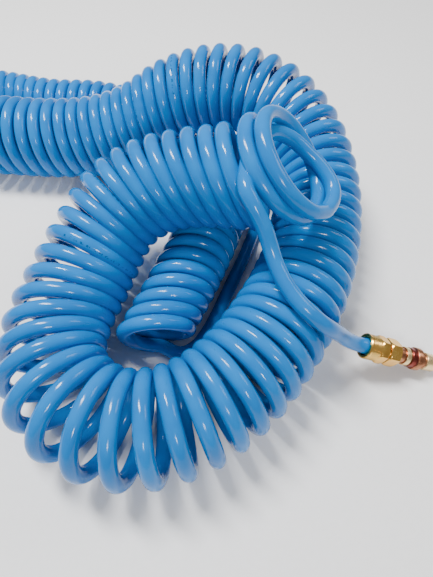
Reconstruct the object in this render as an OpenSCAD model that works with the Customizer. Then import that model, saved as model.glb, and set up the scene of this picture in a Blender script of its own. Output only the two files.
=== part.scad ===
// Self-retracting air hose: one long hose wound as a coil, which lies on a surface in a
// loop, with a brass plug on one end and a quick-release socket on the other.
// Millimetres, +Z up. The origin is the centre of the whole part's footprint, on the surface.

/* [Hose] */
// Outer diameter of the hose
hose_od = 8; // [7:0.5:8.5]
// Bore of the hose
hose_id = 5; // [4.5:0.25:5.5]
// Distance between the rings that the coil's outer surface is swept through
coil_ring_step = 7; // [5:1:9]
// Sides of the coil's outer surface
coil_sides = 16; // [12:4:20]

/* [Lock nuts] */
// Width across the flats of the lock nuts and of the hose stems
nut_flats = 13; // [12:0.5:14]
// Length of the lock nut
nut_l = 12; // [11:0.5:12.5]
// Length of the round collar at the back of the lock nut
nut_collar_l = 4.9; // [4:0.1:6]

/* [Plug] */
// Diameter of the plug's nose, which seals in a socket
plug_nose_d = 9.5; // [9:0.1:9.6]
// Diameter of the groove that the locking balls drop into
plug_groove_d = 7.8; // [7.4:0.1:8.4]
// Diameter of the plug's collar
plug_collar_d = 12.3; // [11.5:0.1:12.4]
// Length of the plug from the back of the nut to its tip
plug_tip_z = 46; // [45:0.5:48]

/* [Socket] */
// Outer diameter of the sliding sleeve
sleeve_d = 21; // [20:0.5:22]
// Travel of the sliding sleeve
sleeve_travel = 4; // [3:0.5:4]
// Travel of the valve
valve_travel = 4; // [3:0.5:4]
// Diameter of a locking ball
ball_d = 3.3; // [3.1:0.1:3.3]
// Length of the socket from the back of the nut to its mouth
socket_mouth_z = 58; // [58:0.5:60]

/* [Hidden] */
$fn = 48;
hose_r = hose_od / 2;

// Centre line of the coil: [x, y, z, mean radius of the turns], from the plug's end
turn_r = 23.5;
coil_route = [
    [42.3, 172, 86.6, 27], [27, 172, 80.5, 26.5], [11, 175, 74, 24.5], [-10, 179, 69.5, turn_r],
    [-32, 182, 62, turn_r], [-52, 177, 52, turn_r], [-65, 160, 41, turn_r], [-75, 137, 33, turn_r],
    [-82, 112, 28.6, turn_r], [-80, 88, 27.6, turn_r], [-66, 70, 27.5, turn_r],
    [-46, 61, 27.5, turn_r], [-25, 62, 27.5, turn_r], [-5, 71, 27.5, turn_r],
    [14, 88, 27.5, turn_r], [31, 111, 27.5, turn_r], [46, 139, 27.5, turn_r],
    [58, 173, 28, turn_r], [63, 209, 33, turn_r], [58, 241, 43, turn_r], [43, 265, 53, turn_r],
    [20, 279, 58, turn_r], [-7, 282, 57.5, turn_r], [-34, 278, 50, turn_r], [-61, 271, 36, turn_r],
    [-88, 269, 29, turn_r], [-120, 269, 27.6, turn_r], [-151, 272, 27.5, turn_r],
    [-180, 273, 27, 22.5], [-207, 278, 25.5, 21], [-226, 298, 23.5, 19], [-224, 324, 21.5, 17.5],
    [-200, 336, 21, 17], [-168, 329, 21, 17], [-130, 318, 21, 17], [-95, 319, 20, 16],
    [-60, 316, 17, 13], [-28, 303, 14, 10], [-5, 278, 15, 11], [6, 240, 20, 16],
    [1, 206, 20.5, 16.5], [-9, 174, 20.5, 16.5], [-21, 142, 20.5, 16.5], [-34, 110, 20.5, 16.5]
];

// Centre line of the straight hose between the coil and the plug
plug_tail_route = [
    [12, 161, 105.5], [11, 152, 100.5], [13, 148, 92], [16, 141.5, 88.5], [19, 138, 84],
    [22, 134.5, 79], [24.6, 130.5, 72.5], [27.2, 125, 67], [30, 119, 64], [33.7, 112.5, 61.8],
    [38, 107, 59.6], [42.7, 103.5, 56.8], [47.5, 101.5, 53], [52.5, 101, 48.2], [57, 102.3, 42.2],
    [61.3, 104, 35.8], [66.4, 104.9, 29.2]
];

// Centre line of the straight hose between the coil and the socket
socket_tail_route = [
    [-12, 113, 4], [-5, 123, 4], [1, 136, 4], [6.5, 150, 4], [12.5, 165, 4], [18.5, 180, 4],
    [24, 196, 4], [29, 212, 4.5], [32.5, 225, 7.4]
];

// Where the back of each lock nut is, and which way each fitting points
plug_at = [77.1, 105.1, 21.9];
plug_yaw = -3;
plug_dip = 22;
socket_at = [34, 252, 11];
// How far the hose reaches out of a lock nut before its own route takes over
hose_end_out = 6;
// Moves the middle of the footprint to the origin
footprint_shift = [64.39, -194.93, 0];

// Lengths along a fitting, from the back of its lock nut
barb_back = -3;
seat_z = 5;
stem_hex_z = 12.7;
stem_front_z = 19.6;
washer_l = 1;
washer_z = 13;
shank_z = washer_z + washer_l;
bore_r = 1.75;
thread_r = 5.5;
shank_r = 4.45;
nut_bore_r = 4.8;
flare_r = 4.7;
running_gap = 0.06;

plug_neck_l = 5.4;
plug_ring_z = stem_front_z + plug_neck_l;
plug_barrel_z = plug_ring_z + 2.7;
plug_collar_z = plug_barrel_z + 3.3;
plug_groove_z = plug_collar_z + 3.8;
plug_nose_z = plug_groove_z + 3.4;
plug_chamfer = 1.5;

mouth_l = 5;
ball_r = ball_d / 2;
ball_z = socket_mouth_z - mouth_l - ball_r - 0.1;
ball_centre_r = plug_groove_d / 2 + ball_r;
ball_count = 4;
body_r = 7.2;
shoulder_r = 8.8;
shoulder_z = 34;
front_z = 26.2;
nose_bore_r = plug_nose_d / 2 + 0.1;
mouth_r = plug_collar_d / 2 + 0.15;
seat_face_z = 38.6;
chamber_r = 5.6;
disc_z = 35.6;
disc_r = 5;
crown_r = 3.8;
spring_seat_z = 22;
sleeve_back_z = 36.5;
sleeve_front_z = 57;
sleeve_gap = 0.06;
ball_lift = 1;
relief_l = sleeve_front_z - ball_z + 0.1;
relief_back_r = body_r + 0.11;
relief_slope = ball_lift / sleeve_travel + 0.04;
sleeve_bore_z = 48.5;
sleeve_spring_r = 9;
// Wider than the sleeve's opening at its front face
stop_ring_r = 9.25;
// The tip of a plug that is home has pushed the crown by the valve's travel
home_tip_z = socket_mouth_z - mouth_l - (plug_tip_z - plug_groove_z);
crown_z = home_tip_z + valve_travel;

function vec3(p) = [p[0], p[1], p[2]];
function unit(v) = v / norm(v);
// Point on a smooth curve through a, b, c, d, at t from b to c
function curve(a, b, c, d, t) =
    0.5 * (2 * b + (c - a) * t + (2 * a - 5 * b + 4 * c - d) * t * t
        + (3 * b - a - 3 * c + d) * t * t * t);
function padded(p) = concat(
    [2 * p[0] - p[1]], p, [2 * p[len(p) - 1] - p[len(p) - 2]]);
// Smooth curve through a route's points, with n steps between each two
function smooth(p, n) = let (q = padded(p), last = len(p) - 2) concat(
    [for (i = [0:last], k = [0:n - 1]) curve(q[i], q[i + 1], q[i + 2], q[i + 3], k / n)],
    [p[len(p) - 1]]);

// Closed tube swept along points p, with radius r[i] at each and n sides
module sweep(p, r, n) {
    m = len(p);
    ways = [for (i = [0:m - 1]) unit(p[min(i + 1, m - 1)] - p[max(i - 1, 0)])];
    ring = [for (i = [0:m - 1]) let (
        side = unit(cross([0, 0, 1], ways[i])),
        rise = cross(ways[i], side)
    ) for (k = [0:n - 1]) p[i] + r[i] * (cos(360 * k / n) * side + sin(360 * k / n) * rise)];
    walls = [for (i = [0:m - 2], k = [0:n - 1]) let (j = (k + 1) % n)
        each [[i * n + k, (i + 1) * n + k, (i + 1) * n + j], [i * n + k, (i + 1) * n + j, i * n + j]]];
    ends = [[for (k = [0:n - 1]) k], [for (k = [n - 1:-1:0]) (m - 1) * n + k]];
    polyhedron(ring, concat(ends, walls), 4);
}

// Coil spring of round wire from z0 to z1, about the z axis
module spring(mean_r, wire_r, turns, z0, z1) {
    steps = 12 * turns;
    rise = (z1 - z0 - 2 * wire_r) / steps;
    line = [for (i = [0:steps]) [mean_r * cos(30 * i), mean_r * sin(30 * i), z0 + wire_r + rise * i]];
    sweep(line, [for (i = [0:steps]) wire_r], 8);
}

module pipe(outer, inner, z0, z1) {
    translate([0, 0, z0]) difference() {
        cylinder(r = outer, h = z1 - z0);
        translate([0, 0, -1]) cylinder(r = inner, h = z1 - z0 + 2);
    }
}

module hex(flats, z0, z1) {
    translate([0, 0, z0]) rotate([0, 0, 30]) cylinder(d = flats / cos(30), h = z1 - z0, $fn = 6);
}

module o_ring(mean_r, wire_r, z) {
    translate([0, 0, z]) rotate_extrude() translate([mean_r, 0]) circle(r = wire_r, $fn = 24);
}

// Placement of the whole part, of the plug's axis and of the socket's axis
module placed() translate(footprint_shift) children();
module on_plug() placed() translate(plug_at) rotate([0, 0, plug_yaw])
    rotate([0, 90 + plug_dip, 0]) children();
module on_socket() placed() translate(socket_at) rotate([-90, 0, 0]) children();

module hose_coil() color("dodgerblue") placed() {
    line = smooth(coil_route, round(28 / coil_ring_step));
    sweep([for (p = line) vec3(p)], [for (p = line) p[3] + hose_r], coil_sides);
}

// Straight hose along a route, then on to the end that a lock nut holds
module hose_tail(route, end_point) color("dodgerblue") placed() {
    line = smooth(concat(route, [end_point]), 3);
    sweep(line, [for (p = line) hose_r], 10);
}

function plug_point(z) = plug_at + z * [
    sin(90 + plug_dip) * cos(plug_yaw), sin(90 + plug_dip) * sin(plug_yaw), cos(90 + plug_dip)];
module hose_plug_tail() hose_tail(plug_tail_route, plug_point(-hose_end_out));
module hose_socket_tail() hose_tail(socket_tail_route, socket_at - [0, hose_end_out, 0]);

// Hose end, opened out over the stem
module hose_end() color("deepskyblue") rotate_extrude() polygon([
    [hose_id / 2, -hose_end_out], [hose_r, -hose_end_out], [hose_r, -4], [flare_r, 3], [flare_r, seat_z],
    [3.2, seat_z], [3.2, 3], [hose_id / 2, -2], [hose_id / 2, barb_back]
]);

module lock_nut() color("goldenrod") difference() {
    union() {
        cylinder(d = nut_flats + 0.6, h = nut_collar_l);
        hex(nut_flats, nut_collar_l, nut_l);
    }
    translate([0, 0, -1]) cylinder(r = nut_bore_r, h = nut_l);
    translate([0, 0, seat_z]) cylinder(r = thread_r + running_gap, h = nut_l);
}

// Stem that the hose is pushed onto, with a hexagon and a threaded hole in front
module hose_stem() color("gold") difference() {
    union() {
        translate([0, 0, barb_back]) cylinder(r = hose_id / 2, h = 2);
        translate([0, 0, -2]) cylinder(r1 = hose_id / 2, r2 = 3.2, h = 5);
        translate([0, 0, 3]) cylinder(r = 3.2, h = 3);
        translate([0, 0, seat_z]) cylinder(r = thread_r, h = stem_hex_z - seat_z);
        hex(nut_flats, stem_hex_z, stem_front_z);
    }
    translate([0, 0, barb_back - 1]) cylinder(r = bore_r, h = 30);
    translate([0, 0, washer_z]) cylinder(r = shank_r + running_gap, h = 10);
}

module seal_washer() color("dimgray") pipe(4.4, 2.3, washer_z, shank_z);

module plug_hose_end() on_plug() hose_end();
module plug_lock_nut() on_plug() lock_nut();
module plug_hose_stem() on_plug() hose_stem();
module plug_seal_washer() on_plug() seal_washer();

module plug_nipple() color("peru") on_plug() difference() {
    union() {
        translate([0, 0, shank_z]) cylinder(r = shank_r, h = stem_front_z - shank_z);
        translate([0, 0, stem_front_z]) cylinder(r = 4.2, h = plug_neck_l);
        translate([0, 0, plug_ring_z]) cylinder(r = 5, h = plug_barrel_z - plug_ring_z);
        translate([0, 0, plug_barrel_z]) cylinder(r = 5.3, h = plug_collar_z - plug_barrel_z);
        translate([0, 0, plug_collar_z]) cylinder(d = plug_collar_d, h = plug_groove_z - plug_collar_z);
        translate([0, 0, plug_groove_z]) cylinder(d = plug_groove_d, h = plug_nose_z - plug_groove_z);
        translate([0, 0, plug_nose_z]) cylinder(d = plug_nose_d, h = plug_tip_z - plug_chamfer - plug_nose_z);
        translate([0, 0, plug_tip_z - plug_chamfer])
            cylinder(d1 = plug_nose_d, d2 = plug_nose_d - 2, h = plug_chamfer);
    }
    translate([0, 0, shank_z - 1]) cylinder(r = 2.2, h = 40);
}

module socket_hose_end() on_socket() hose_end();
module socket_lock_nut() on_socket() lock_nut();
module socket_hose_stem() on_socket() hose_stem();
module socket_seal_washer() on_socket() seal_washer();

// Rear half of the socket: shank, hexagon, thread and the seat of the valve's spring
module socket_rear_body() color("goldenrod") on_socket() difference() {
    union() {
        translate([0, 0, shank_z]) cylinder(r = shank_r, h = 21 - shank_z);
        hex(17, 20, 26);
        translate([0, 0, 25]) cylinder(r = 7.5, h = 6);
    }
    translate([0, 0, shank_z - 1]) cylinder(r = 2.2, h = 20);
    translate([0, 0, spring_seat_z]) cylinder(r = 5.2, h = 20);
}

// Front half of the socket: valve seat, packing groove, ball holes and mouth
module socket_front_body() color("gold") on_socket() difference() {
    union() {
        translate([0, 0, front_z]) cylinder(r = shoulder_r, h = shoulder_z - front_z);
        translate([0, 0, shoulder_z]) cylinder(r = body_r, h = socket_mouth_z - shoulder_z);
    }
    translate([0, 0, front_z - 1]) cylinder(r = 8.55, h = 2.6);
    translate([0, 0, front_z]) cylinder(r = 7.5 + running_gap, h = 31.2 - front_z);
    translate([0, 0, 31]) cylinder(r = chamber_r, h = seat_face_z - 31);
    translate([0, 0, seat_face_z - 1]) cylinder(r = 4.2, h = 4);
    translate([0, 0, 40.6]) cylinder(r = nose_bore_r, h = 20);
    translate([0, 0, 45]) cylinder(r = 6.3, h = 3);
    translate([0, 0, socket_mouth_z - mouth_l]) cylinder(r = mouth_r, h = mouth_l + 1);
    for (i = [0:ball_count - 1]) rotate([0, 0, 45 + 360 * i / ball_count])
        translate([0, 0, ball_z]) rotate([0, 90, 0]) cylinder(r = ball_r + 0.08, h = 12, $fn = 24);
    pipe(9, 6.75, 56.95, 57.7);
}

module body_o_ring() color("dimgray") on_socket() o_ring(8.03, 0.48, 27.15);
module packing_seal() color("dimgray") on_socket() pipe(6.28, nose_bore_r, 45.05, 47.95);

// Sleeve that slides back to let the balls out: it holds them in with its inner land
module sliding_sleeve() color("gold") on_socket() difference() {
    union() {
        translate([0, 0, sleeve_back_z]) cylinder(d = sleeve_d, h = sleeve_front_z - sleeve_back_z - 1);
        translate([0, 0, sleeve_front_z - 1]) cylinder(d1 = sleeve_d, d2 = sleeve_d - 2, h = 1);
    }
    translate([0, 0, sleeve_back_z - 1]) cylinder(r = body_r + sleeve_gap, h = 30);
    translate([0, 0, sleeve_back_z - 1]) cylinder(r = sleeve_spring_r, h = sleeve_bore_z - sleeve_back_z + 1);
    for (z = [38:1.6:53]) translate([0, 0, z]) pipe(12, sleeve_d / 2 - 0.35, 0, 0.6);
    translate([0, 0, ball_z])
        cylinder(r1 = relief_back_r, r2 = relief_back_r + relief_slope * relief_l, h = relief_l);
}

module sleeve_spring() color("silver") on_socket() spring(8.1, 0.45, 5, shoulder_z + 0.05, sleeve_bore_z - 0.05);

// Wire ring in the groove at the mouth, which stops the sleeve
module sleeve_stop_ring() color("silver") on_socket() difference() {
    pipe(stop_ring_r, 6.8, 57.05, 57.6);
    translate([0, -1, 50]) cube([12, 2, 12]);
}

// Valve: guide stem, disc and the slotted crown that the plug pushes
module valve_poppet() color("gold") on_socket() difference() {
    union() {
        translate([0, 0, 30]) cylinder(r = 1.5, h = 6);
        translate([0, 0, disc_z]) cylinder(r = disc_r, h = 2);
        translate([0, 0, disc_z + 2]) cylinder(r = crown_r, h = crown_z - disc_z - 2);
    }
    translate([0, 0, 38.8]) cylinder(r = crown_r - 1, h = 20);
    for (a = [0, 90]) rotate([0, 0, a]) translate([-6, -1.2, 39.2]) cube([12, 2.4, 5]);
}

module valve_o_ring() color("dimgray") on_socket() o_ring(4.35, 0.46, disc_z + 2.5);
module valve_spring() color("silver") on_socket() spring(3.6, 0.4, 5, spring_seat_z + 0.05, disc_z - 0.05);

module lock_ball(i) color("silver") on_socket() rotate([0, 0, 45 + 360 * i / ball_count])
    translate([ball_centre_r, 0, ball_z]) sphere(r = ball_r);

hose_coil();
hose_plug_tail();
hose_socket_tail();
plug_hose_end();
plug_lock_nut();
plug_hose_stem();
plug_seal_washer();
plug_nipple();
socket_hose_end();
socket_lock_nut();
socket_hose_stem();
socket_seal_washer();
socket_rear_body();
socket_front_body();
body_o_ring();
packing_seal();
sliding_sleeve();
sleeve_spring();
sleeve_stop_ring();
valve_poppet();
valve_o_ring();
valve_spring();
for (i = [0:ball_count - 1]) {
    lock_ball(i);
}
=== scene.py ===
"""A coiled air hose with a plug and a quick-release socket: the visible pieces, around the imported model."""
import math

import bpy
import numpy as np
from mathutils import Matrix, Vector


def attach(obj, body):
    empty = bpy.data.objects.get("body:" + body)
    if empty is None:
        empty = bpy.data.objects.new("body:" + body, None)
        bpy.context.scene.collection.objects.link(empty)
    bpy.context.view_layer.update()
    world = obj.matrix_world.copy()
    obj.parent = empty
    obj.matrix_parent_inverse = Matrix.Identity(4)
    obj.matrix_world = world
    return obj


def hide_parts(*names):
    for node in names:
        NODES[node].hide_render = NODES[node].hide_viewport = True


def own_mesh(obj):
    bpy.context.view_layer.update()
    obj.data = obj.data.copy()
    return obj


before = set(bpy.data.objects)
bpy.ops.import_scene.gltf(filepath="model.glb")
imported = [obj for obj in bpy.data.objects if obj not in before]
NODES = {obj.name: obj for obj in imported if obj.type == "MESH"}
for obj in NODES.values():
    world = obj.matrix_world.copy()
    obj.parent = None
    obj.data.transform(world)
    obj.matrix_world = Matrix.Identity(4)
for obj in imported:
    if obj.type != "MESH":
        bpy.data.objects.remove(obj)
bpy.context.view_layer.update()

MM = 0.001


# ---------------------------------------------------------------- places, in mm, before the shift
SHIFT = np.array([64.39, -194.93, 0.0])
HOSE_D = 8.0
PLUG_AT = np.array([77.1, 105.1, 21.9])
PLUG_YAW = math.radians(-3)
PLUG_DIP = math.radians(22)
PLUG_WAY = np.array([
    math.cos(PLUG_DIP) * math.cos(PLUG_YAW), math.cos(PLUG_DIP) * math.sin(PLUG_YAW), -math.sin(PLUG_DIP)])
SOCKET_AT = np.array([34.0, 252.0, 11.0])
SOCKET_WAY = np.array([0.0, 1.0, 0.0])
CAMERA_AT = np.array([0.0, 0.0, 227.5])
CAMERA_DIP = 55.5
CAMERA_SENSOR = 36.0
CAMERA_LENS = 27.33

# Fittings
NUT_FLATS = 13.0
# How much the hose opens at its two ends: (distance from the end, extra radius)
FLARE = [(0, 0.7), (1, 0.65), (6, 0)]
HOSE_SIDES = 20

# Centre line of the coil, from the plug's end: x, y, z and mean radius of the turns
TURN_R = 23.5
COIL_ROUTE = [
    (42.3, 172, 86.6, 27), (27, 172, 80.5, 26.5), (11, 175, 74, 24.5), (-10, 179, 69.5, TURN_R),
    (-32, 182, 62, TURN_R), (-52, 177, 52, TURN_R), (-65, 160, 41, TURN_R), (-75, 137, 33, TURN_R),
    (-82, 112, 28.6, TURN_R), (-80, 88, 27.6, TURN_R), (-66, 70, 27.5, TURN_R), (-46, 61, 27.5, TURN_R),
    (-25, 62, 27.5, TURN_R), (-5, 71, 27.5, TURN_R), (14, 88, 27.5, TURN_R), (31, 111, 27.5, TURN_R),
    (46, 139, 27.5, TURN_R), (58, 173, 28, TURN_R), (63, 209, 33, TURN_R), (58, 241, 43, TURN_R),
    (43, 265, 53, TURN_R), (20, 279, 58, TURN_R), (-7, 282, 57.5, TURN_R), (-34, 278, 50, TURN_R),
    (-61, 271, 36, TURN_R), (-88, 269, 29, TURN_R), (-120, 269, 27.6, TURN_R), (-151, 272, 27.5, TURN_R),
    (-180, 273, 27, 22.5), (-207, 278, 25.5, 21), (-226, 298, 23.5, 19), (-224, 324, 21.5, 17.5),
    (-200, 336, 21, 17), (-168, 329, 21, 17), (-130, 318, 21, 17), (-95, 319, 20, 16),
    (-60, 316, 17, 13), (-28, 303, 14, 10), (-5, 278, 15, 11), (6, 240, 20, 16),
    (1, 206, 20.5, 16.5), (-9, 174, 20.5, 16.5), (-21, 142, 20.5, 16.5), (-34, 110, 20.5, 16.5),
]
# Centre lines of the two straight ends of the hose, from the coil to the fittings
PLUG_TAIL = [
    (13, 148, 92), (16, 141.5, 88.5), (19, 138, 84), (22, 134.5, 79), (24.6, 130.5, 72.5),
    (27.2, 125, 67), (30, 119, 64), (33.7, 112.5, 61.8), (38, 107, 59.6), (42.7, 103.5, 56.8),
    (47.5, 101.5, 53), (52.5, 101, 48.2), (57, 102.3, 42.2), (61.3, 104, 35.8), (66.4, 104.9, 29.2),
]
SOCKET_TAIL = [
    (-21, 109, 4.3), (-12, 113, 4), (-5, 123, 4), (1, 136, 4), (6.5, 150, 4), (12.5, 165, 4),
    (18.5, 180, 4), (24, 196, 4), (29, 212, 4.5), (32.5, 225, 7.4),
]

# How the turns stand. Lengths are along the coil's centre line, from the plug's end.
WAY_WINDOW = 281                                  # length over which the turns' direction is averaged
FIRST_WAY = np.array([-0.72, 0.125, -0.68])       # the first two turns lie tilted against the rest
FIRST_HOLD, FIRST_FADE = 11, 17
LAST_WAY = np.array([0.0, -0.975, -0.22])
LAST_FADE = 80
FIRST_ANGLE = math.radians(-60)
LAST_ANGLE = math.radians(285)
STEPS_PER_TURN = 36
# (length, rise per turn) where the first turns stand apart, and (length, share of the touching rise)
FIRST_RISE = [(0, 8.2), (11.6, 8.2), (12.8, 36), (26, 36), (28.5, 8.3)]
CLOSENESS = [
    (0, 1), (60, 1), (90, 0.86), (150, 0.86), (200, 0.9), (300, 0.9), (360, 1), (430, 1),
    (460, 0.93), (560, 0.93), (620, 1)]
# The plug's end of the hose passes inside the first turns: (angle, length, how far outside the turns)
LEAD_IN = [
    (-302, 20, -6.5), (-275, 15, -8.7), (-245, 9.5, -8.6), (-215, 7.5, -8.6), (-185, 5.5, -8.6),
    (-155, 3.5, -8.4), (-130, 1, -6.5), (-105, -1, -3), (-82, -1, -0.8)]


# ---------------------------------------------------------------- lines and meshes
def unit(v):
    return v / np.linalg.norm(v, axis=-1, keepdims=True)


def placed(p):
    """A point or points in mm, before the shift, as metres in the shared frame."""
    return (np.asarray(p, float) + SHIFT) * MM


def curve_points(route, steps):
    """Points of a smooth curve through a route, with so many steps between each two."""
    p = np.array(route, float)
    p = np.vstack([2 * p[0] - p[1], p, 2 * p[-1] - p[-2]])
    t = (np.arange(steps) / steps)[:, None]
    out = []
    for a, b, c, d in zip(p[:-3], p[1:-2], p[2:-1], p[3:]):
        out.append(0.5 * (
            2 * b + (c - a) * t + (2 * a - 5 * b + 4 * c - d) * t * t + (3 * b - a - 3 * c + d) * t ** 3))
    return np.vstack(out + [p[-2:-1]])


def evenly(line, step):
    """The same line with its points an even step apart, and its length."""
    at = np.concatenate([[0], np.cumsum(np.linalg.norm(np.diff(line[:, :3], axis=0), axis=1))])
    want = np.linspace(0, at[-1], int(round(at[-1] / step)) + 1)
    return np.stack([np.interp(want, at, column) for column in line.T], 1), at[-1]


def softened(values, width):
    """Rows averaged over a smooth window of so many rows."""
    window = np.hanning(width + 2)[1:-1]
    window /= window.sum()
    half = width // 2
    padded = np.concatenate([np.repeat(values[:1], half, 0), values, np.repeat(values[-1:], half, 0)])
    return np.stack([np.convolve(column, window, "valid") for column in padded.T], 1)


def eased(x):
    x = np.clip(x, 0, 1)
    return (x * x * (3 - 2 * x))[:, None]


def mesh_object(name, verts, faces, sharp=None):
    """Smooth object from points in metres, with edges sharper than this angle kept."""
    mesh = bpy.data.meshes.new(name)
    mesh.from_pydata([tuple(v) for v in verts], [], faces)
    mesh.update()
    mesh.shade_smooth()
    if sharp:
        mesh.set_sharp_from_angle(angle=math.radians(sharp))
    obj = bpy.data.objects.new(name, mesh)
    bpy.context.scene.collection.objects.link(obj)
    return obj


def tube(name, line, radii, sides, uv=False):
    """Closed round tube along a line in metres, with u along its length in metres and v round it."""
    way = unit(np.gradient(line, axis=0))
    side = np.cross(way[0], [0, 0, 1.0])
    angle = np.arange(sides) * 2 * math.pi / sides
    rings = []
    for p, w, r in zip(line, way, radii):
        side = unit(side - w * side.dot(w))
        rings.append(p + r * (np.cos(angle)[:, None] * side + np.sin(angle)[:, None] * np.cross(w, side)))
    n, m = len(line), sides
    faces = [
        (i * m + k, i * m + (k + 1) % m, (i + 1) * m + (k + 1) % m, (i + 1) * m + k)
        for i in range(n - 1) for k in range(m)]
    faces += [tuple(range(m))[::-1], tuple((n - 1) * m + k for k in range(m))]
    obj = mesh_object(name, np.vstack(rings), faces)
    if uv:
        at = np.concatenate([[0], np.cumsum(np.linalg.norm(np.diff(line, axis=0), axis=1))])
        layer = obj.data.uv_layers.new(name="UVMap")
        coords = []
        for i in range(n - 1):
            for k in range(m):
                coords += [at[i], k / m, at[i], (k + 1) / m, at[i + 1], (k + 1) / m, at[i + 1], k / m]
        coords += [0.0] * (4 * m)
        layer.data.foreach_set("uv", coords)
    return obj


class Coil:
    """The turns of the hose along the coil's centre line."""

    def __init__(self):
        line, _ = evenly(curve_points(COIL_ROUTE, 24), 1.0)
        self.centre, self.radius = line[:, :3], line[:, 3]
        along = np.arange(len(line))
        way = unit(softened(unit(np.gradient(self.centre, axis=0)), WAY_WINDOW))
        share = eased((along - FIRST_HOLD) / FIRST_FADE)
        way = unit((1 - share) * unit(FIRST_WAY) + share * way)
        share = eased((along[-1] - along) / LAST_FADE)
        self.way = unit((1 - share) * LAST_WAY + share * way)
        rise = np.array([0, 0, 1.0]) - self.way * self.way[:, 2:]
        self.side = np.cross(unit(rise), self.way)
        self.up = np.cross(self.way, self.side)
        pitch = self.touching(along)
        pitch = np.where(along < FIRST_RISE[-1][0], np.interp(along, *zip(*FIRST_RISE)), pitch)
        pitch = pitch * np.interp(along, *zip(*CLOSENESS))
        self.angle = np.concatenate([[0], np.cumsum(4 * math.pi / (pitch[1:] + pitch[:-1]))])
        whole_turns = math.floor((self.angle[-1] + FIRST_ANGLE - LAST_ANGLE) / 2 / math.pi)
        self.angle *= (whole_turns * 2 * math.pi + LAST_ANGLE - FIRST_ANGLE) / self.angle[-1]
        self.angle += FIRST_ANGLE

    def touching(self, along):
        """Rise per turn at each place, so that each turn just touches the next."""
        phase = np.arange(0, 2 * math.pi, math.pi / 8)[None, :, None]
        ring = self.centre[:, None] + self.radius[:, None, None] * (
            np.cos(phase) * self.side[:, None] + np.sin(phase) * self.up[:, None])
        pitch = np.full(len(along), HOSE_D * 1.3)
        for _ in range(12):
            following = np.clip(along + pitch, 0, along[-1])
            low = np.floor(following).astype(int).clip(0, len(along) - 2)
            part = (following - low)[:, None, None]
            gap = np.linalg.norm(ring[low] * (1 - part) + ring[low + 1] * part - ring, axis=2).min(1)
            want = pitch * np.clip(HOSE_D * 1.01 / np.maximum(gap, 0.5), 0.6, 1.6)
            want[-20:] = want[-21]
            pitch = softened(want[:, None], 15)[:, 0]
        half = int(HOSE_D / 2)
        return np.concatenate([pitch[:1].repeat(half), pitch[:-half]])

    def at(self, angle, length=None, outside=0.0):
        """Points of the winding at these angles, at a length along the centre line if that is given."""
        index = np.arange(len(self.centre))
        length = np.interp(angle, self.angle, index) if length is None else length

        def pick(rows):
            return np.stack([np.interp(length, index, column) for column in rows.T], 1)

        centre = pick(self.centre) + np.minimum(length, 0)[:, None] * pick(self.way)
        r = (np.interp(length, index, self.radius) + outside)[:, None]
        turn = np.cos(angle)[:, None] * unit(pick(self.side)) + np.sin(angle)[:, None] * unit(pick(self.up))
        return centre + r * turn


def hose_line():
    """Centre line of the whole hose in mm, from inside the plug's lock nut to inside the socket's."""
    coil = Coil()
    turns = coil.at(np.arange(coil.angle[0], coil.angle[-1], 2 * math.pi / STEPS_PER_TURN))
    lead = np.array(LEAD_IN)
    lead = coil.at(np.radians(lead[:, 0]), lead[:, 1], lead[:, 2])
    plug_end = [PLUG_AT + PLUG_WAY * k for k in (4, -1, -5)]
    socket_end = [SOCKET_AT + SOCKET_WAY * k for k in (-12, -4, 4)]
    first = curve_points(plug_end + PLUG_TAIL[::-1] + list(lead) + [turns[1], turns[3]], 6)
    last = curve_points([turns[-6], turns[-3], turns[-1]] + SOCKET_TAIL + socket_end, 6)
    line, _ = evenly(np.vstack([first[:-6], turns[3:-3], last[6:]]), HOSE_D / 4)
    line = softened(line, 3)
    return line, float(np.linalg.norm(np.diff(line, axis=0), axis=1).sum())


def turned(name, at, way, profile, flats=0.0, sides=72):
    """Ring turned about an axis from a closed profile of (z, radius) in mm.

    A third value marks a point that the hexagon, with these flats, cuts.
    """
    angle = np.arange(sides) * 2 * math.pi / sides
    side = unit(np.cross([0, 0, 1.0], way))
    up = np.cross(way, side)
    across = flats / 2 / np.cos((angle + math.pi / 6) % (math.pi / 3) - math.pi / 6)
    rings = []
    for z, r, *cut in profile:
        radius = np.minimum(r, across) if cut else np.full(sides, r)
        rings.append(at + way * z + radius[:, None] * (
            np.cos(angle)[:, None] * side + np.sin(angle)[:, None] * up))
    n, m = len(profile), sides
    faces = [
        (i * m + k, ((i + 1) % n) * m + k, ((i + 1) % n) * m + (k + 1) % m, i * m + (k + 1) % m)
        for i in range(n) for k in range(m)]
    return mesh_object(name, placed(np.vstack(rings)), faces, sharp=28)


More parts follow.
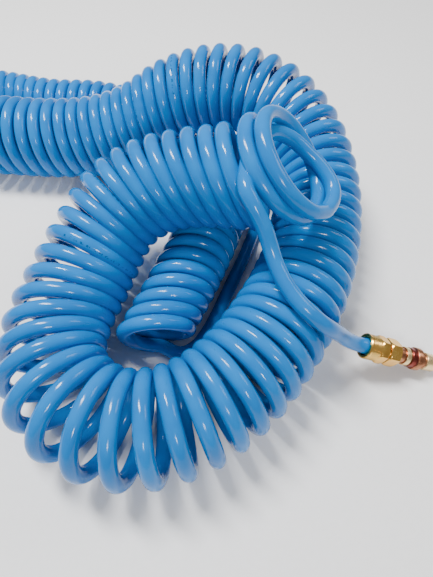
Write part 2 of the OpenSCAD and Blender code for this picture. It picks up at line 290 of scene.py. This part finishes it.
# ---------------------------------------------------------------- materials
class Paint:
    """A Principled material with helpers for its nodes."""

    def __init__(self, name, **sockets):
        self.mat = bpy.data.materials.new(name)
        self.mat.use_nodes = True
        self.tree = self.mat.node_tree
        self.shader = self.tree.nodes["Principled BSDF"]
        for key, value in sockets.items():
            self.shader.inputs[key.replace("_", " ")].default_value = value

    def node(self, kind, inputs=(), **settings):
        node = self.tree.nodes.new(kind)
        for key, value in settings.items():
            setattr(node, key, value)
        for key, value in dict(inputs).items():
            if isinstance(value, bpy.types.NodeSocket):
                self.tree.links.new(value, node.inputs[key])
            else:
                node.inputs[key].default_value = value
        return node

    def math(self, operation, a, b=0.0):
        return self.node("ShaderNodeMath", {0: a, 1: b}, operation=operation).outputs[0]

    def link(self, value, socket):
        self.tree.links.new(value, self.shader.inputs[socket])

    def noise(self, scale, detail=3.0):
        coords = self.node("ShaderNodeTexCoord").outputs["Object"]
        inputs = {"Vector": coords, "Scale": scale, "Detail": detail}
        return self.node("ShaderNodeTexNoise", inputs).outputs["Fac"]

    def mix(self, factor, a, b):
        inputs = {"Factor": factor, "A": a, "B": b}
        return self.node("ShaderNodeMix", inputs, data_type="RGBA").outputs["Result"]

    def spread(self, value, low, high, to_low, to_high):
        inputs = {"Value": value, "From Min": low, "From Max": high, "To Min": to_low, "To Max": to_high}
        return self.node("ShaderNodeMapRange", inputs).outputs[0]

    def bump(self, height, strength, distance):
        inputs = {"Height": height, "Strength": strength, "Distance": distance}
        self.link(self.node("ShaderNodeBump", inputs).outputs[0], "Normal")


def hose_paint():
    """Glossy blue polyurethane, a little cloudy, with a broken row of small dark printed dashes."""
    paint = Paint("hose_blue", Roughness=0.15, IOR=1.36)
    cloud = paint.spread(paint.noise(55.0), 0.35, 0.65, 0.0, 1.0)
    colour = paint.mix(cloud, (0.0, 0.15, 0.46, 1), (0.0, 0.19, 0.55, 1))
    uv = paint.node("ShaderNodeSeparateXYZ", {0: paint.node("ShaderNodeUVMap", uv_map="UVMap").outputs[0]})
    along, around = uv.outputs[0], uv.outputs[1]
    group = paint.math("LESS_THAN", paint.math("FRACT", paint.math("MULTIPLY", along, 2.3)), 0.16)
    dash = paint.math("LESS_THAN", paint.math("FRACT", paint.math("MULTIPLY", along, 330.0)), 0.55)
    row = paint.math("LESS_THAN", paint.math("ABSOLUTE", paint.math("SUBTRACT", around, 0.24)), 0.022)
    worn = paint.math("GREATER_THAN", paint.noise(900.0, 1.0), 0.47)
    mark = paint.math("MULTIPLY", paint.math("MULTIPLY", group, dash), paint.math("MULTIPLY", row, worn))
    colour = paint.mix(paint.math("MULTIPLY", mark, 0.6), colour, (0.0, 0.02, 0.09, 1))
    paint.link(colour, "Base Color")
    smear = paint.noise(140.0, 5.0)
    paint.link(paint.spread(smear, 0.3, 0.7, 0.09, 0.2), "Roughness")
    paint.bump(paint.noise(260.0, 2.0), 0.12, 0.0003)
    return paint.mat


def metal_paint(name, light, dark, rough, painted_reflection_bands=()):
    """Turned metal with darker patches. Bands are (from, to, colour) in mm along the plug: rings of painted
    reflection, lighter and darker.
    """
    paint = Paint(name, Metallic=1.0, Roughness=rough)
    patch = paint.spread(paint.noise(180.0, 3.0), 0.35, 0.75, 0.0, 1.0)
    colour = paint.mix(patch, light, dark)
    coords = paint.node("ShaderNodeTexCoord").outputs["Object"]
    inputs = {0: coords, 1: tuple(PLUG_WAY)}
    along = paint.node("ShaderNodeVectorMath", inputs, operation="DOT_PRODUCT").outputs["Value"]
    # Each band paints a ring of reflected light or dark along the plug
    for low, high, tint in painted_reflection_bands:
        middle = placed(PLUG_AT + PLUG_WAY * (low + high) / 2).dot(PLUG_WAY)
        away = paint.math("ABSOLUTE", paint.math("SUBTRACT", along, middle))
        colour = paint.mix(paint.math("LESS_THAN", away, (high - low) / 2 * MM), colour, tint)
    paint.link(colour, "Base Color")
    scratch = paint.noise(2600.0, 2.0)
    paint.link(paint.spread(scratch, 0.3, 0.7, rough * 0.75, rough * 1.35), "Roughness")
    paint.bump(scratch, 0.05, 0.00002)
    return paint.mat


def rubber_paint():
    paint = Paint("black_rubber", Roughness=0.55)
    dust = paint.spread(paint.noise(700.0), 0.4, 0.7, 0.0, 1.0)
    paint.link(paint.mix(dust, (0.012, 0.012, 0.013, 1), (0.03, 0.03, 0.032, 1)), "Base Color")
    paint.bump(paint.noise(3000.0), 0.15, 0.0001)
    return paint.mat


# ---------------------------------------------------------------- camera, hose
def make_camera():
    camera = bpy.data.cameras.new("camera")
    camera.sensor_fit = "VERTICAL"
    camera.sensor_height = CAMERA_SENSOR
    camera.lens = CAMERA_LENS
    camera.clip_start = 0.005
    obj = bpy.data.objects.new("camera", camera)
    bpy.context.scene.collection.objects.link(obj)
    obj.location = placed(CAMERA_AT)
    obj.rotation_euler = (math.radians(90 - CAMERA_DIP), 0, 0)
    bpy.context.scene.camera = obj


def make_hose(material):
    line, length = hose_line()
    print("hose", round(length), "mm")
    radii = np.full(len(line), HOSE_D / 2)
    from_end = np.minimum(np.arange(len(line)), np.arange(len(line))[::-1]) * HOSE_D / 4
    radii += np.interp(from_end, *zip(*FLARE))
    hose = tube("air_hose", placed(line), radii * MM, HOSE_SIDES, uv=True)
    hose.data.materials.append(material)
    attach(hose, "hose")
    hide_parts("hose_coil", "hose_plug_tail", "hose_socket_tail", "plug_hose_end", "socket_hose_end")
    return hose, placed(line), length * MM


# ---------------------------------------------------------------- fittings
def lock_nut(end, at, way, brass):
    ribs = []
    for z in np.arange(1.5, 5.6, 0.8):
        ribs += [(z, 6.75), (z + 0.12, 6.6), (z + 0.3, 6.6), (z + 0.42, 6.75)]
    profile = [(0.35, 4.85), (0, 5.1), (0, 6.2), (0.5, 6.75)] + ribs + [
        (6.3, 6.75), (6.5, 6.2), (6.7, 6.2), (6.75, 6.35, 1), (7.1, 6.8, 1), (7.5, 7.2, 1), (8.1, 7.6, 1),
        (10.8, 7.6, 1), (11.3, 7.2, 1), (11.7, 6.75, 1), (12, 6.3, 1), (12, 5.6), (5, 5.6), (5, 4.85)]
    nut = turned(end + "_nut", at, way, profile, flats=NUT_FLATS)
    return dress(nut, brass, "brass_nut", end + "_lock_nut")


def hose_stem(end, at, way, brass):
    thread = []
    for z in np.arange(5.6, 12.0, 0.8):
        thread += [(z, 5.1), (z + 0.4, 5.45)]
    profile = [(-3, 1.75), (-3, 2.3), (-2.7, 2.5), (-1, 2.5), (3, 3.2), (5, 3.2), (5, 5.1)] + thread + [
        (12.3, 5.1), (12.7, 5.1), (12.7, 6.3, 1), (13, 6.75, 1), (13.5, 7.2, 1), (14.1, 7.6, 1),
        (18.4, 7.6, 1), (18.9, 7.2, 1), (19.3, 6.75, 1), (19.6, 6.3, 1), (19.6, 4.75), (19.3, 4.5),
        (13, 4.5), (13, 1.75)]
    stem = turned(end + "_stem", at, way, profile, flats=NUT_FLATS)
    return dress(stem, brass, "brass_body", end + "_hose_stem")


def plug_nose(painted_reflection_brass):
    profile = [
        (14, 2.2), (14, 4.4), (19.6, 4.4), (19.7, 4.2), (24.4, 4.2), (24.4, 4.8), (24.7, 5.0), (26.9, 5.0),
        (27.2, 4.8), (27.2, 4.5), (27.8, 4.5), (27.8, 5.1), (28, 5.3), (30.8, 5.3), (31, 5.6), (31.3, 6.0),
        (31.7, 6.15), (34.3, 6.15), (34.7, 5.8), (34.8, 5.3), (34.8, 4.3), (35.1, 3.9), (37.8, 3.9),
        (38.2, 4.2), (38.2, 4.55), (38.45, 4.75), (44.3, 4.75), (44.7, 4.6), (45.8, 4.0), (46, 3.7),
        (46, 2.6), (45.6, 2.2)]
    plug = turned("plug_body", PLUG_AT, PLUG_WAY, profile)
    # Its brown colour and bands are painted reflections on brass
    return dress(plug, painted_reflection_brass, "brass_plug", "plug_nipple")


def spring(name, steel, node, mean_r, wire_r, z0, z1, turns):
    """Coil spring between two places on the socket's axis."""
    angle = np.arange(0, turns * 2 * math.pi, math.pi / 12)
    z = np.interp(angle, [0, 2 * math.pi, angle[-1] - 2 * math.pi, angle[-1]],
                  [z0 + wire_r, z0 + 2.8 * wire_r, z1 - 2.8 * wire_r, z1 - wire_r])
    line = SOCKET_AT + np.stack([mean_r * np.cos(angle), z, mean_r * np.sin(angle)], 1)
    obj = tube(name, placed(line), np.full(len(line), wire_r * MM), 10)
    dress(obj, steel, "steel", node)
    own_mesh(obj)
    return obj


def dress(obj, material, slot, *nodes):
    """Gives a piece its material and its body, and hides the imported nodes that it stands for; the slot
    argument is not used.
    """
    obj.data.materials.append(material)
    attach(obj, "hose")
    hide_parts(*nodes)
    return obj


def repaint(names, material):
    for name in names:
        NODES[name].data.materials.clear()
        NODES[name].data.materials.append(material)


# ---------------------------------------------------------------- stage
def area_light(name, at, size, power, target=(0, 0, 0.02), long=None):
    data = bpy.data.lights.new(name, "AREA")
    data.size = size
    data.energy = power
    if long:
        data.shape = "RECTANGLE"
        data.size_y = long
    obj = bpy.data.objects.new(name, data)
    bpy.context.scene.collection.objects.link(obj)
    obj.location = at
    obj.rotation_euler = (Vector(target) - Vector(at)).to_track_quat("-Z", "Y").to_euler()


def make_stage():
    half = 3.0
    corners = [(-half, -half, 0), (half, -half, 0), (half, half, 0), (-half, half, 0)]
    floor = mesh_object("floor", corners, [(0, 1, 2, 3)])
    paint = Paint("floor_paper", Roughness=0.8)
    grain = paint.spread(paint.noise(300.0), 0.3, 0.7, 0.0, 1.0)
    paint.link(paint.mix(grain, (0.88, 0.88, 0.88, 1), (0.9, 0.9, 0.9, 1)), "Base Color")
    floor.data.materials.append(paint.mat)
    world = bpy.data.worlds.new("world")
    world.use_nodes = True
    world.node_tree.nodes["Background"].inputs[0].default_value = (1, 1, 1, 1)
    world.node_tree.nodes["Background"].inputs[1].default_value = 0.32
    bpy.context.scene.world = world
    area_light("key", (-0.25, 0.2, 0.95), 0.18, 17, long=0.4)
    area_light("front", (0.25, -0.9, 0.7), 0.2, 5)
    area_light("side", (0.9, 0.2, 0.7), 0.4, 2.5)


make_camera()
hose, hose_path, hose_length = make_hose(hose_paint())

brass = metal_paint("brass_yellow", (0.93, 0.58, 0.15, 1), (0.74, 0.38, 0.08, 1), 0.2)
brass_pale = metal_paint("brass_pale", (0.86, 0.62, 0.25, 1), (0.62, 0.4, 0.12, 1), 0.24)
# The pale bands are painted highlights and the red band is a painted dark reflection
painted_highlight_band, painted_dark_reflection_band = (0.9, 0.68, 0.36, 1), (0.22, 0.045, 0.035, 1)
# Plug nose: brass painted brown all over as a painted dark reflection
painted_reflection_brass = metal_paint(
    "brass_with_painted_reflections", (0.46, 0.21, 0.11, 1), (0.34, 0.13, 0.07, 1), 0.3,
    painted_reflection_bands=[(24.4, 27.2, painted_highlight_band), (27.8, 31.0, painted_dark_reflection_band), (38.1, 44.4, painted_highlight_band)])
steel = metal_paint("spring_steel", (0.62, 0.62, 0.63, 1), (0.42, 0.42, 0.44, 1), 0.25)
rubber = rubber_paint()

lock_nut("plug", PLUG_AT, PLUG_WAY, brass)
hose_stem("plug", PLUG_AT, PLUG_WAY, brass)
plug_nose(painted_reflection_brass)
socket_nut = lock_nut("socket", SOCKET_AT, SOCKET_WAY, brass)
socket_stem = hose_stem("socket", SOCKET_AT, SOCKET_WAY, brass)
spring("sleeve_return_spring", steel, "sleeve_spring", 8.1, 0.45, 34.05, 48.4, 5)
spring("valve_return_spring", steel, "valve_spring", 3.6, 0.4, 22.05, 35.5, 6)

repaint(["socket_rear_body", "socket_front_body", "valve_poppet"], brass_pale)
repaint(["sliding_sleeve"], brass)
repaint(["plug_seal_washer", "socket_seal_washer", "body_o_ring", "packing_seal", "valve_o_ring"], rubber)
repaint(["sleeve_stop_ring", "lock_ball_1", "lock_ball_2", "lock_ball_3", "lock_ball_4"], steel)
make_stage()
